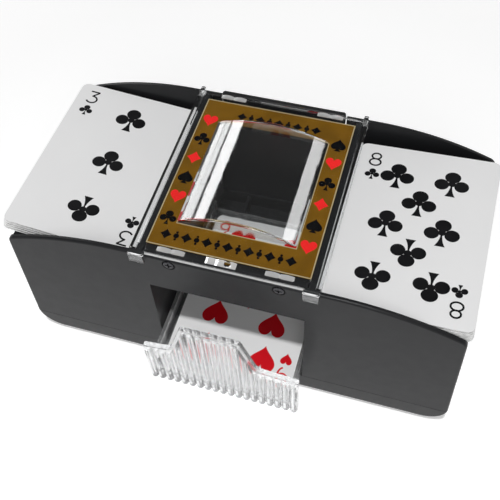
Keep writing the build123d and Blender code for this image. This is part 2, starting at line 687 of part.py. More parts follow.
# ---- drive and cards of each wing ----
for side_name, side in sides:
    axis_x = side * roller_x
    idler_axis_x = side * idler_x

    # feed roller: steel shaft, plastic hubs, rubber tyres and the slow gear
    with BuildPart() as roller_shaft:
        with BuildSketch(across(axis_x, slow_gear_y + slow_gear_width + 0.3, roller_z)):
            Circle(shaft_radius)
        extrude(amount=slow_gear_y + slow_gear_width + 0.3 - web_y + 3)
    save(roller_shaft.part, f"roller_shaft_{side_name}")

    with BuildPart() as wheel_hubs:
        for wheel_y in tyre_spacing:
            with BuildSketch(across(axis_x, wheel_y + tyre_width / 2, roller_z)):
                Circle(hub_radius)
                Circle(shaft_radius, mode=Mode.SUBTRACT)
                with PolarLocations(5.2, 5):
                    Circle(1.5, mode=Mode.SUBTRACT)
            extrude(amount=tyre_width)
    save(wheel_hubs.part, f"wheel_hubs_{side_name}")

    with BuildPart() as feed_tyres:
        for wheel_y in tyre_spacing:
            with BuildSketch(across(axis_x, wheel_y + tyre_width / 2, roller_z)):
                Circle(roller_radius)
                Circle(hub_radius, mode=Mode.SUBTRACT)
                with PolarLocations(roller_radius + 0.15, 30):
                    Circle(0.5, mode=Mode.SUBTRACT)
            extrude(amount=tyre_width)
    save(feed_tyres.part, f"feed_tyres_{side_name}")

    to_idler = atan2(idler_z - roller_z, idler_axis_x - axis_x)
    with BuildPart() as roller_gear:
        slow_plane = across(axis_x, slow_gear_y + slow_gear_width, roller_z)
        extrude(gear_face(slow_plane, roller_teeth, to_idler, shaft_radius), amount=slow_gear_width)
    save(roller_gear.part, f"roller_gear_{side_name}")

    # compound idler on a fixed pin
    idler_bore = 1.3 + running_gap
    with BuildPart() as idler_gear:
        small_plane = across(idler_axis_x, slow_gear_y + slow_gear_width, idler_z)
        small_phase = to_idler + pi + pi / idler_small_teeth
        extrude(gear_face(small_plane, idler_small_teeth, small_phase, idler_bore), amount=slow_gear_width)
        with BuildSketch(across(idler_axis_x, fast_gear_y, idler_z)):
            Circle(3.6)
            Circle(idler_bore, mode=Mode.SUBTRACT)
        extrude(amount=fast_gear_y - slow_gear_y - slow_gear_width)
        big_plane = across(idler_axis_x, fast_gear_y + fast_gear_width, idler_z)
        extrude(gear_face(big_plane, idler_big_teeth, -pi / 2, idler_bore), amount=fast_gear_width)
    save(idler_gear.part, f"idler_gear_{side_name}")

    with BuildPart() as idler_pin:
        with BuildSketch(across(idler_axis_x, 46.2, idler_z)):
            Circle(1.3)
        extrude(amount=46.2 - plate_back_y + plate_thickness)
        with BuildSketch(across(idler_axis_x, 46.2, idler_z)):
            Circle(2.2)
        extrude(amount=0.9)
    save(idler_pin.part, f"idler_pin_{side_name}")

    # motor with its shaft and pinion
    with BuildPart() as motor:
        with BuildSketch(across(idler_axis_x, motor_front_y, motor_z)):
            Circle(motor_radius)
            Rectangle(2 * motor_radius, motor_height, mode=Mode.INTERSECT)
        extrude(amount=motor_length)
        with BuildSketch(across(idler_axis_x, motor_front_y + 1.5, motor_z)):
            Circle(3)
        extrude(amount=1.5)
        with BuildSketch(across(idler_axis_x, motor_front_y + 2, motor_z)):
            Circle(1 + running_gap)
        extrude(amount=8, mode=Mode.SUBTRACT)
    save(motor.part, f"motor_{side_name}")

    with BuildPart() as motor_shaft:
        with BuildSketch(across(idler_axis_x, 45.2, motor_z)):
            Circle(1)
        extrude(amount=45.2 - motor_front_y + 5.5)
    save(motor_shaft.part, f"motor_shaft_{side_name}")

    with BuildPart() as motor_pinion:
        pinion_plane = across(idler_axis_x, fast_gear_y + fast_gear_width + 0.2, motor_z)
        pinion_phase = pi / 2 + pi / pinion_teeth
        extrude(gear_face(pinion_plane, pinion_teeth, pinion_phase, 1.0), amount=fast_gear_width + 0.4)
    save(motor_pinion.part, f"motor_pinion_{side_name}")

    # steel plate that holds the motor, the idler pin and the back end of the roller shaft
    with BuildPart() as gear_plate:
        with BuildSketch(Plane.XZ.offset(-plate_back_y)):
            with BuildLine():
                Polyline(
                    (side * 40.0, 33),
                    (side * 40.0, 64.5),
                    (side * 79.5, 64.5),
                    (side * 79.5, 27),
                    (side * 70.5, 21.2),
                    (side * 49.5, 21.2),
                    close=True,
                )
            make_face()
            with Locations((axis_x, roller_z)):
                Circle(3.5, mode=Mode.SUBTRACT)
            with Locations((idler_axis_x, motor_z)):
                Circle(3.1, mode=Mode.SUBTRACT)
            with Locations((idler_axis_x, idler_z)):
                Circle(1.3, mode=Mode.SUBTRACT)
            with Locations(*[(side * x, z) for x, z in plate_boss_places]):
                Circle(1.3, mode=Mode.SUBTRACT)
            with Locations((idler_axis_x - 6.5, motor_z), (idler_axis_x + 6.5, motor_z)):
                Circle(1.1, mode=Mode.SUBTRACT)
        extrude(amount=plate_thickness)
    save(gear_plate.part, f"gear_plate_{side_name}")

    # battery door, recessed into the pan's underside, with grip ridges
    with BuildPart() as battery_door:
        with BuildSketch(Plane.XY.offset(0.05)):
            with Locations((side * bay_x, 0)):
                RectangleRounded(door_width, door_length, 1.0)
        extrude(amount=door_thickness)
        for groove in range(5):
            with Locations((side * bay_x, door_length / 2 - 6 - 2 * groove, 0.05)):
                Box(14, 0.9, 0.8, mode=Mode.SUBTRACT)
    save(battery_door.part, f"battery_door_{side_name}")

# stacks of cards: side, middle in X and Y, thickness, turn in degrees, slip of the lower half
card_lift = tray_rib_height + card_clearance
card_stacks = (
    ("cards_left", -1, -72.6, 0.85, 5.2, -1.5, (-1.3, -0.9)),
    ("cards_right", 1, 70.7, -2.0, 7.7, -0.7, (0.5, -0.1)),
)
for stack_name, side, stack_x, stack_y, thickness, turn, slip in card_stacks:
    stack_plane = tray_plane(side, stack_x, stack_y, card_lift, turn)
    with BuildPart() as card_stack:
        with BuildSketch(stack_plane):
            with Locations(slip):
                RectangleRounded(card_width, card_length, card_corner)
        extrude(amount=thickness / 2)
        with BuildSketch(stack_plane.offset(thickness / 2)):
            RectangleRounded(card_width, card_length, card_corner)
        extrude(amount=thickness / 2)
    save(card_stack.part, stack_name)

drawer_top_z = drawer_floor_z + drawer_floor
with BuildPart() as cards_drawer:
    with BuildSketch(Plane.XY.offset(drawer_top_z)):
        with Locations((0.7, panel_back_y + 1.2 + card_length / 2)):
            RectangleRounded(card_width, card_length, card_corner)
    extrude(amount=4.0)
save(cards_drawer.part, "cards_drawer")

# ---- pieces shared by both wings ----
with BuildPart() as motor_end_bells:
    for _, side in sides:
        with BuildSketch(across(side * idler_x, motor_front_y - motor_length, motor_z)):
            Circle(motor_radius - 0.6)
            Rectangle(2 * motor_radius, motor_height - 1.2, mode=Mode.INTERSECT)
        extrude(amount=3.2)
        with Locations(
            (side * idler_x - 5, motor_front_y - motor_length - 4.7, motor_z),
            (side * idler_x + 5, motor_front_y - motor_length - 4.7, motor_z),
        ):
            Box(0.5, 3.2, 2.2)
save(motor_end_bells.part, "motor_end_bells")

with BuildPart() as shaft_bushes:
    for _, side in sides:
        for bush_y, flange_y in ((web_y + web_thickness / 2, web_y + web_thickness / 2 + 0.8),
                                 (plate_back_y, plate_back_y - plate_thickness)):
            with BuildSketch(across(side * roller_x, bush_y, roller_z)):
                Circle(3.5)
                Circle(shaft_radius + running_gap, mode=Mode.SUBTRACT)
            extrude(amount=web_thickness if bush_y < 0 else plate_thickness)
            with BuildSketch(across(side * roller_x, flange_y, roller_z)):
                Circle(4.6)
                Circle(shaft_radius + running_gap, mode=Mode.SUBTRACT)
            extrude(amount=0.8)
save(shaft_bushes.part, "shaft_bushes")

with BuildPart() as battery_cells:
    for _, side in sides:
        for lane, nub in ((-1, 1), (1, -1)):
            lane_x = side * bay_x + lane * cell_offset
            with BuildSketch(across(lane_x, cell_length / 2, cell_z)):
                Circle(cell_radius)
            extrude(amount=cell_length)
            with BuildSketch(across(lane_x, nub * cell_length / 2 + 0.6, cell_z)):
                Circle(2.6)
            extrude(amount=1.2)
save(battery_cells.part, "battery_cells")

with BuildPart() as battery_contacts:
    for _, side in sides:
        for end in (-1, 1):
            with Locations((side * bay_x, end * 30.2, cell_z)):
                Box(27, 0.4, 11)
            for lane in (-1, 1):
                lane_x = side * bay_x + lane * cell_offset
                with BuildSketch(Plane.XY.offset(cell_z - 3)):
                    with BuildLine():
                        Polyline(
                            (lane_x - 4.5, end * 30.1),
                            (lane_x, end * 25.3),
                            (lane_x + 4.5, end * 30.1),
                            (lane_x + 4.0, end * 30.1),
                            (lane_x, end * 25.8),
                            (lane_x - 4.0, end * 30.1),
                            close=True,
                        )
                    make_face()
                extrude(amount=6)
save(battery_contacts.part, "battery_contacts")


def screw(plane, shank_radius, shank_length, head_radius, head_height):
    """Pan-head screw whose head sits on a plane and whose shank runs behind it."""
    with BuildPart() as screw_body:
        with BuildSketch(plane):
            Circle(head_radius)
        extrude(amount=head_height)
        fillet(screw_body.faces().sort_by(Axis(plane.origin, plane.z_dir))[-1].edges(), 0.35 * head_height)
        with BuildSketch(plane):
            Circle(shank_radius)
        extrude(amount=-shank_length)
        with BuildSketch(plane.offset(head_height)):
            Rectangle(1.3 * head_radius, 0.3 * head_radius)
            Rectangle(0.3 * head_radius, 1.3 * head_radius)
        extrude(amount=-0.45 * head_height, mode=Mode.SUBTRACT)
    return screw_body.part


with BuildPart() as front_screws:
    for _, side in sides:
        head_y = -body_half_depth(screw_front_z) + 1.1
        add(screw(across(side * screw_front_x, head_y, screw_front_z), 1.1, 4.2, 2.4, 1.3))
save(front_screws.part, "front_screws")

with BuildPart() as base_screws:
    for x, y in post_places:
        seat = Plane(origin=(x, y, 4), x_dir=(1, 0, 0), z_dir=(0, 0, -1))
        add(screw(seat, 1.2, 16, 2.9, 1.9))
save(base_screws.part, "base_screws")

with BuildPart() as plate_screws:
    for _, side in sides:
        for x, z in plate_boss_places:
            add(screw(across(side * x, plate_back_y - plate_thickness, z), 1.15, 9, 2.3, 1.4))
save(plate_screws.part, "plate_screws")

with BuildPart() as motor_screws:
    for _, side in sides:
        for offset_x in (-6.5, 6.5):
            seat = Plane(
                origin=(side * idler_x + offset_x, plate_back_y, motor_z),
                x_dir=(1, 0, 0),
                z_dir=(0, 1, 0),
            )
            add(screw(seat, 1.0, 2.0, 1.8, 0.9))
save(motor_screws.part, "motor_screws")
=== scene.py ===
import json
import math
import random

import bmesh
import bpy
from mathutils import Matrix, Quaternion, Vector

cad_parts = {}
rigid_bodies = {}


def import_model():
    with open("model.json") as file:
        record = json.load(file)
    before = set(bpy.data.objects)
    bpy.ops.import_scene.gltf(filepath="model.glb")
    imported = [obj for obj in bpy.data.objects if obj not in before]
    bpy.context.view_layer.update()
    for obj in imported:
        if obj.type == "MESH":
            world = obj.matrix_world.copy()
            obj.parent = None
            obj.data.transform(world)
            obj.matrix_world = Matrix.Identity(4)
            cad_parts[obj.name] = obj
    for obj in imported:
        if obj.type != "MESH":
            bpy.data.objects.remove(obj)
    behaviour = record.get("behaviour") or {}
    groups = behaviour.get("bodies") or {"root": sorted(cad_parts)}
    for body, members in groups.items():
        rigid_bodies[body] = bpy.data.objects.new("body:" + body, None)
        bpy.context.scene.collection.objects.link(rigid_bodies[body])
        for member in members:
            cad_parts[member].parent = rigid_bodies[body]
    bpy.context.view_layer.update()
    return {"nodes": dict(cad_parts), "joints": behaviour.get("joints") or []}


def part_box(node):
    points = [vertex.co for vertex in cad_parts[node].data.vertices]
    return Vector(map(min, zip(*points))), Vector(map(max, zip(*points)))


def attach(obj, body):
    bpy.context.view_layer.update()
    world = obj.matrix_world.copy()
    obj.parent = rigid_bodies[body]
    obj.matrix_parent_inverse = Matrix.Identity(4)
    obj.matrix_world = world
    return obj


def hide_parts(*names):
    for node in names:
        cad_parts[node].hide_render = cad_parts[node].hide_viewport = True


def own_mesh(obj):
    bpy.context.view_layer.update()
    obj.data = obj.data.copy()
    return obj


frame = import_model()
nodes = frame["nodes"]
scene = bpy.context.scene
rng = random.Random(11)
MM = 0.001
SHARP_EDGE = math.radians(40)
FLAT = math.radians(0.2)
WELD = 0.002  # millimetres between corners that count as one
PRINT_LIFT = 0.012  # millimetres that printed shapes stand off their sheet
PRINT_STEP = 0.001  # millimetres between one printed shape and the next


def smooth(mesh, angle):
    """Smooth shading that breaks where faces meet at more than an angle in degrees."""
    mesh.shade_smooth()
    mesh.set_sharp_from_angle(angle=math.radians(angle))


# ---------------------------------------------------------------- materials
class Tree:
    """A material's node tree with short calls for the nodes used here."""

    def __init__(self, name):
        self.material = bpy.data.materials.new(name)
        self.material.use_nodes = True
        self.tree = self.material.node_tree
        self.shader = self.tree.nodes["Principled BSDF"]
        self.output = self.tree.nodes["Material Output"]
        self.where = self.node("ShaderNodeTexCoord").outputs["Object"]

    def node(self, kind, **settings):
        made = self.tree.nodes.new(kind)
        for key, value in settings.items():
            setattr(made, key, value)
        return made

    def link(self, source, target):
        self.tree.links.new(source, target)

    def feed(self, socket, source):
        """Links a value to one of the shader's own inputs."""
        self.link(source, self.shader.inputs[socket])

    def set(self, **values):
        """Sets the shader's own inputs, named with underscores for their spaces."""
        for key, value in values.items():
            self.shader.inputs[key.replace("_", " ")].default_value = value

    def stretched(self, scale):
        mapping = self.node("ShaderNodeMapping")
        mapping.inputs["Scale"].default_value = scale
        self.link(self.where, mapping.inputs["Vector"])
        return mapping.outputs["Vector"]

    def noise(self, size_mm, detail=3.0, vector=None):
        """Noise whose features are about size_mm across."""
        made = self.node("ShaderNodeTexNoise")
        made.inputs["Scale"].default_value = 1000.0 / size_mm
        made.inputs["Detail"].default_value = detail
        self.link(vector or self.where, made.inputs["Vector"])
        return made.outputs["Fac"]

    def ramp(self, source, low, high, start=0.35, end=0.65):
        """Turns start..end of a source into low..high."""
        made = self.node("ShaderNodeMapRange")
        made.inputs["From Min"].default_value = start
        made.inputs["From Max"].default_value = end
        made.inputs["To Min"].default_value = low
        made.inputs["To Max"].default_value = high
        self.link(source, made.inputs["Value"])
        return made.outputs["Result"]

    def mix(self, factor, first, second):
        """A colour between two, each given as a tuple or as an output."""
        made = self.node("ShaderNodeMix", data_type="RGBA")
        for value, socket in ((first, made.inputs[6]), (second, made.inputs[7])):
            if isinstance(value, tuple):
                socket.default_value = (*value, 1.0)
            else:
                self.link(value, socket)
        self.link(factor, made.inputs[0])
        return made.outputs[2]

    def bump(self, height, distance_mm):
        made = self.node("ShaderNodeBump")
        made.inputs["Distance"].default_value = distance_mm * MM
        made.inputs["Strength"].default_value = 1.0
        self.link(height, made.inputs["Height"])
        return made.outputs["Normal"]


def scaled(colour, factor):
    """A colour made darker or lighter."""
    return tuple(min(1.0, part * factor) for part in colour)


def plain(name, colour, roughness, shine=0.5, spread=0.06, mottle=0.08, mottle_mm=14.0,
          grain_mm=0.35, grain=0.02):
    """A solid finish with slow colour and gloss changes and a fine surface grain."""
    t = Tree(name)
    patches = t.ramp(t.noise(mottle_mm), 0.0, 1.0)
    t.feed("Base Color", t.mix(patches, scaled(colour, 1 - mottle), scaled(colour, 1 + mottle)))
    t.feed("Roughness", t.ramp(t.noise(mottle_mm * 0.4), roughness - spread, roughness + spread))
    t.feed("Normal", t.bump(t.noise(grain_mm), grain))
    t.shader.inputs["Specular IOR Level"].default_value = shine
    return t.material


def clear(name, tint, roughness, wave_mm, wave, clarity=1.0, ior=1.53):
    """Moulded clear plastic: it bends light, and lets the lamps through to what is behind it."""
    t = Tree(name)
    t.set(Base_Color=(*tint, 1.0), IOR=ior, Transmission_Weight=clarity)
    t.feed("Roughness", t.ramp(t.noise(9.0), roughness, roughness * 2.2))
    t.feed("Normal", t.bump(t.noise(wave_mm, 1.0), wave))
    path = t.node("ShaderNodeLightPath")
    either = t.node("ShaderNodeMath", operation="MAXIMUM")
    t.link(path.outputs["Is Shadow Ray"], either.inputs[0])
    t.link(path.outputs["Is Diffuse Ray"], either.inputs[1])
    through = t.node("ShaderNodeBsdfTransparent")
    through.inputs["Color"].default_value = (*scaled(tint, 0.97), 1.0)
    both = t.node("ShaderNodeMixShader")
    t.link(either.outputs[0], both.inputs[0])
    t.link(t.shader.outputs[0], both.inputs[1])
    t.link(through.outputs[0], both.inputs[2])
    t.link(both.outputs[0], t.output.inputs["Surface"])
    return t.material


def brushed(name, colour, roughness, along=(1.0, 0.04, 1.0)):
    """Plated or drawn metal with fine lines along one direction."""
    t = Tree(name)
    lines = t.noise(0.5, 4.0, t.stretched(along))
    t.feed("Base Color", t.mix(t.ramp(lines, 0.0, 1.0), scaled(colour, 0.82), scaled(colour, 1.1)))
    t.feed("Roughness", t.ramp(lines, roughness - 0.08, roughness + 0.1))
    t.feed("Normal", t.bump(lines, 0.01))
    t.set(Metallic=1.0)
    return t.material


def cell_sleeve(name, half_length):
    """Generic printed battery sleeve: dark, with a copper band at one end."""
    t = Tree(name)
    parts = t.node("ShaderNodeSeparateXYZ")
    t.link(t.where, parts.inputs[0])
    band = t.ramp(parts.outputs["Y"], 0.0, 1.0, half_length * 0.42, half_length * 0.43)
    slow = t.noise(6.0)
    dark = t.mix(slow, (0.012, 0.012, 0.014), (0.02, 0.02, 0.022))
    t.feed("Base Color", t.mix(band, dark, (0.45, 0.2, 0.07)))
    t.feed("Roughness", t.ramp(slow, 0.22, 0.34))
    t.set(Metallic=0.35)
    return t.material


def card_stock(name):
    """Coated white card with a faint dimpled finish."""
    t = Tree(name)
    t.feed("Base Color", t.mix(t.noise(25.0), (0.765, 0.765, 0.77), (0.81, 0.81, 0.81)))
    t.feed("Roughness", t.ramp(t.noise(3.0), 0.34, 0.44))
    weave = t.node("ShaderNodeTexVoronoi")
    weave.inputs["Scale"].default_value = 1000.0 / 0.7
    t.link(t.where, weave.inputs["Vector"])
    t.feed("Normal", t.bump(weave.outputs["Distance"], 0.012))
    t.shader.inputs["Specular IOR Level"].default_value = 0.3
    return t.material


black = plain("body_black_plastic", (0.0135, 0.0138, 0.015), 0.36, 0.16,
              spread=0.025, mottle=0.03, grain_mm=0.5, grain=0.012)
black_fine = plain("trim_black_plastic", (0.014, 0.014, 0.015), 0.32, 0.3,
                   spread=0.03, mottle=0.04, grain_mm=0.3, grain=0.01)
rubber = plain("foot_rubber", (0.014, 0.014, 0.014), 0.75, mottle=0.2, grain_mm=0.6, grain=0.05)
tyre = plain("tyre_rubber", (0.02, 0.019, 0.018), 0.68, mottle=0.2, grain_mm=0.5, grain=0.05)
nylon = plain("gear_nylon", (0.72, 0.70, 0.64), 0.38, grain_mm=0.8, grain=0.01)
label_paper = plain("label_print", (0.182, 0.085, 0.005), 0.6, 0.06,
                    mottle=0.14, mottle_mm=9.0, grain_mm=0.25, grain=0.006)
cream = plain("label_cream", (0.46, 0.37, 0.2), 0.45, grain_mm=0.3, grain=0.006)
label_black = plain("label_black_ink", (0.003, 0.003, 0.0035), 0.6, 0.03, grain_mm=0.3, grain=0.004)
label_red = plain("label_red_ink", (0.96, 0.021, 0.02), 0.5, 0.1, grain_mm=0.3, grain=0.004)
card_black = plain("card_black_ink", (0.006, 0.006, 0.007), 0.42, 0.12,
                   mottle=0.25, grain_mm=0.3, grain=0.004)
card_red = plain("card_red_ink", (0.62, 0.005, 0.012), 0.42, 0.12, grain_mm=0.3, grain=0.004)
paper = card_stock("card_stock")
# the cards' cut sides are painted grey: painted shade standing in for the dark lines between stacked cards
painted_edge_shade = plain("card_edge_painted_shade", (0.5, 0.5, 0.49), 0.7,
                   mottle=0.2, mottle_mm=2.0, grain_mm=0.15, grain=0.02)
steel = brushed("plated_steel", (0.62, 0.62, 0.63), 0.3)
can = brushed("motor_can", (0.50, 0.50, 0.52), 0.34)
screw_black = brushed("screw_black", (0.05, 0.05, 0.055), 0.2, (1.0, 1.0, 1.0))
brass = brushed("brass", (0.66, 0.47, 0.20), 0.3)
sleeve = cell_sleeve("battery_sleeve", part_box("battery_cells")[1].y)
# the dome reflects more than the sides, and the plate over the label less
clear_cover = clear("clear_cover_plastic", (0.97, 0.98, 0.98), 0.015, 7.0, 0.02)
clear_dome = clear("clear_dome_plastic", (0.97, 0.98, 0.98), 0.02, 7.0, 0.02, ior=1.8)
clear_plate = clear("clear_plate_plastic", (0.97, 0.98, 0.98), 0.02, 7.0, 0.02, ior=1.14)
clear_frosted = clear("clear_frosted_plastic", (0.98, 0.98, 0.98), 0.10, 1.6, 0.12, 0.6)
clear_drawer = clear("clear_drawer_plastic", (0.97, 0.975, 0.98), 0.05, 4.0, 0.03, 0.93)


def finish(names, material):
    """Gives CAD nodes that keep their shape a material."""
    for name in names:
        mesh = nodes[name].data
        mesh.materials.clear()
        mesh.materials.append(material)
        smooth(mesh, 32)


finish(["housing", "base_pan", "battery_door_left", "battery_door_right"], black)
finish(["front_rail", "push_bar", "switch_block"], black_fine)
finish(["rubber_feet"], rubber)
finish(["label_insert"], label_paper)
finish(["front_screws"], screw_black)
finish(["base_screws", "plate_screws", "motor_screws"], steel)
finish(["switch_tags", "battery_contacts", "shaft_bushes"], brass)
finish(["battery_cells"], sleeve)
finish(["motor_end_bells"], nylon)
for side in ("left", "right"):
    finish([f"motor_{side}"], can)
    finish([f"motor_pinion_{side}"], brass)
    finish([f"motor_shaft_{side}", f"idler_pin_{side}", f"roller_shaft_{side}", f"gear_plate_{side}"], steel)
    finish([f"idler_gear_{side}", f"roller_gear_{side}", f"wheel_hubs_{side}"], nylon)
    finish([f"feed_tyres_{side}"], tyre)


# ---------------------------------------------------------------- shapes
def piece(name, bm, materials, body, replaces=(), angle=32):
    """Turns a bmesh in metres into an object that rides on a CAD body."""
    mesh = bpy.data.meshes.new(name)
    bm.normal_update()
    bm.to_mesh(mesh)
    bm.free()
    for material in materials:
        mesh.materials.append(material)
    smooth(mesh, angle)
    for polygon in mesh.polygons:
        if max(abs(part) for part in polygon.normal) > 0.99999:
            polygon.use_smooth = False
    made = bpy.data.objects.new(name, mesh)
    scene.collection.objects.link(made)
    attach(made, body)
    if replaces:
        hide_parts(*replaces)
    return made


def heart(width, height):
    """Outline of a heart, from the usual sum of cosines."""
    points = []
    for step in range(48):
        a = 2 * math.pi * step / 48
        x = math.sin(a) ** 3
        y = (13 * math.cos(a) - 5 * math.cos(2 * a) - 2 * math.cos(3 * a) - math.cos(4 * a) + 2.5) / 29
        points.append((-x * width / 2, y * height))
    return [points]


def diamond(width, height):
    """Outline of a diamond whose sides are drawn in a little."""
    points = []
    for corner in range(4):
        a, b = math.pi / 2 * corner, math.pi / 2 * (corner + 1)
        for step in range(6):
            s = step / 6
            x = math.cos(a) * (1 - s) + math.cos(b) * s
            y = math.sin(a) * (1 - s) + math.sin(b) * s
            pull = 1 - 0.12 * math.sin(math.pi * s)
            points.append((x * pull * width / 2, y * pull * height / 2))
    return [points]


def stem(width, height):
    """Flared foot of a spade or a club, with its top at the origin."""
    right = [(width * (0.07 + 0.43 * (s / 8) ** 2.6), -height * s / 8) for s in range(9)]
    return [(-x, y) for x, y in right] + [(x, y) for x, y in reversed(right)]


def spade(width, height):
    """Outlines of a spade: a heart upside down, and its foot."""
    body = [(-x, -y * 0.86 + height * 0.07) for x, y in heart(width, height)[0]]
    foot = [(x, y - height * 0.02) for x, y in stem(width * 0.5, height * 0.48)]
    return [body, foot]


def disc(x, y, rx, ry, count=28):
    """Outline of an ellipse."""
    angles = [2 * math.pi * k / count for k in range(count)]
    return [(x + rx * math.cos(a), y + ry * math.sin(a)) for a in angles]


def club(width, height):
    """Outlines of a club: three lobes, the middle between them, and its foot."""
    lobes = [disc(0, height * 0.28, width * 0.232, height * 0.22)]
    lobes += [disc(side * width * 0.288, -height * 0.05, width * 0.212, height * 0.215) for side in (-1, 1)]
    middle = disc(0, height * 0.01, width * 0.115, height * 0.105)
    foot = [(x, y + height * 0.04) for x, y in stem(width * 0.30, height * 0.54)]
    return lobes + [middle, foot]


def stroke(points, width):
    """A line of constant width as one outline."""
    left, right = [], []
    for k, (x, y) in enumerate(points):
        before, after = points[max(0, k - 1)], points[min(len(points) - 1, k + 1)]
        dx, dy = after[0] - before[0], after[1] - before[1]
        run = math.hypot(dx, dy)
        left.append((x - dy / run * width / 2, y + dx / run * width / 2))
        right.append((x + dy / run * width / 2, y - dx / run * width / 2))
    return left + right[::-1]


def arc(x, y, rx, ry, start, end, count=20):
    """Points along an ellipse between two angles in degrees."""
    steps = [math.radians(start + (end - start) * k / count) for k in range(count + 1)]
    return [(x + rx * math.cos(a), y + ry * math.sin(a)) for a in steps]


def ring(x, y, rx, ry, width):
    """A closed loop as two half strokes."""
    return [stroke(arc(x, y, rx, ry, 0, 180), width), stroke(arc(x, y, rx, ry, 180, 360), width)]


def numeral(digit, height, width=0.84):
    """Outlines of a plain 3, 8 or 9, drawn with round strokes."""
    h = height / 2
    if digit == 8:
        return ring(0, h * 0.50, h * 0.55, h * 0.46, width) + ring(0, -h * 0.46, h * 0.68, h * 0.52, width)
    if digit == 9:
        tail = arc(-h * 0.12, h * 0.0, h * 0.76, h * 0.98, 15, -70, 14)
        return ring(0, h * 0.42, h * 0.62, h * 0.54, width) + [stroke(tail, width)]
    top = [(-h * 0.62, h * 0.98), (h * 0.62, h * 0.98)]
    slant = [(h * 0.60, h * 0.98), (-h * 0.12, h * 0.20)]
    bowl = [(-h * 0.20, h * 0.20)] + arc(-h * 0.06, -h * 0.38, h * 0.72, h * 0.58, 88, -150, 24)
    return [stroke(top, width), stroke(slant, width), stroke(bowl, width)]


def placed(outlines, x, y, turn=0.0):
    """Outlines moved, and turned by some degrees."""
    c, s = math.cos(math.radians(turn)), math.sin(math.radians(turn))
    return [[(x + px * c - py * s, y + px * s + py * c) for px, py in line] for line in outlines]


def lay(bm, outlines, matrix, lift, index, step=0.0):
    """Lays flat outlines, in millimetres, on a plane given by a matrix, each a hair above the last."""
    for k, line in enumerate(outlines):
        area = sum(a[0] * b[1] - b[0] * a[1] for a, b in zip(line, line[1:] + line[:1]))
        corners = line if area > 0 else line[::-1]
        verts = [bm.verts.new(matrix @ Vector((x * MM, y * MM, (lift + step * k) * MM))) for x, y in corners]
        bm.faces.new(verts).material_index = index


def rounded(width, length, radius, count=6):
    """Outline of a rectangle with round corners."""
    points = []
    for side, end, start in ((1, 1, 0), (-1, 1, 90), (-1, -1, 180), (1, -1, 270)):
        x, y = side * (width / 2 - radius), end * (length / 2 - radius)
        for k in range(count + 1):
            a = math.radians(start + 90 * k / count)
            points.append((x + radius * math.cos(a), y + radius * math.sin(a)))
    return points


def prism(outline, low, high, upright=False):
    """A closed block from an outline, along Z, or along Y where upright."""
    bm = bmesh.new()
    ends = []
    for level in (low, high):
        ends.append([bm.verts.new((x, level, y) if upright else (x, y, level)) for x, y in outline])
    for first, second in zip(range(len(outline)), [*range(1, len(outline)), 0]):
        bm.faces.new((ends[0][first], ends[0][second], ends[1][second], ends[1][first]))
    bm.faces.new(ends[0][::-1])
    bm.faces.new(ends[1])
    bmesh.ops.recalc_face_normals(bm, faces=bm.faces)
    return bm


def block(x0, x1, y0, y1, z0, z1):
    """A box between two planes across each axis."""
    return prism([(x0, y0), (x1, y0), (x1, y1), (x0, y1)], z0, z1)


def shifted(outline, x, y):
    """One outline moved."""
    return [(x + px, y + py) for px, py in outline]


def merged(solids, cuts=(), keep=()):
    """One solid from overlapping ones, less the cuts, and only what is inside keep."""
    made = []

    def hold(bm):
        mesh = bpy.data.meshes.new("part")
        bm.to_mesh(mesh)
        bm.free()
        made.append(bpy.data.objects.new("part", mesh))
        return made[-1]

    group = bpy.data.collections.new("parts")
    scene.collection.children.link(group)
    base = hold(solids[0])
    scene.collection.objects.link(base)
    for operation, others in (("UNION", solids[1:]), ("DIFFERENCE", cuts), ("INTERSECT", keep)):
        if not others:
            continue
        part_group = bpy.data.collections.new(operation)
        group.children.link(part_group)
        for other in others:
            part_group.objects.link(hold(other))
        step = base.modifiers.new(operation, "BOOLEAN")
        step.operation = operation
        step.solver = "EXACT"
        step.operand_type = "COLLECTION"
        step.collection = part_group
    result = bmesh.new()
    result.from_mesh(base.evaluated_get(bpy.context.evaluated_depsgraph_get()).to_mesh())
    for other in made:
        bpy.data.objects.remove(other)
    for child in list(group.children):
        bpy.data.collections.remove(child)
    bpy.data.collections.remove(group)
    bmesh.ops.remove_doubles(result, verts=result.verts, dist=WELD)
    bmesh.ops.dissolve_limit(result, angle_limit=FLAT, verts=result.verts, edges=result.edges)
    return result


def outer_edges(bm, above=-math.inf):
    """Convex edges that are sharp enough to round and lie wholly above a height."""
    return [
        e for e in bm.edges
        if e.is_manifold and e.is_convex and e.calc_face_angle() > SHARP_EDGE
        and min(v.co.z for v in e.verts) > above
    ]


def softened(bm, rounding, high_rounding=0.0, high_z=math.inf):
    """Rounds the outer edges, those above high_z more, and turns millimetres into metres."""
    high = set(outer_edges(bm, high_z))
    low = [e for e in outer_edges(bm) if e not in high]
    bmesh.ops.bevel(bm, geom=low, offset=rounding, segments=2, affect="EDGES", clamp_overlap=False)
    high = outer_edges(bm, high_z)
    if high:
        bmesh.ops.bevel(bm, geom=high, offset=high_rounding, segments=3, affect="EDGES", clamp_overlap=False)
    bmesh.ops.scale(bm, vec=(MM, MM, MM), verts=bm.verts)
    return bm


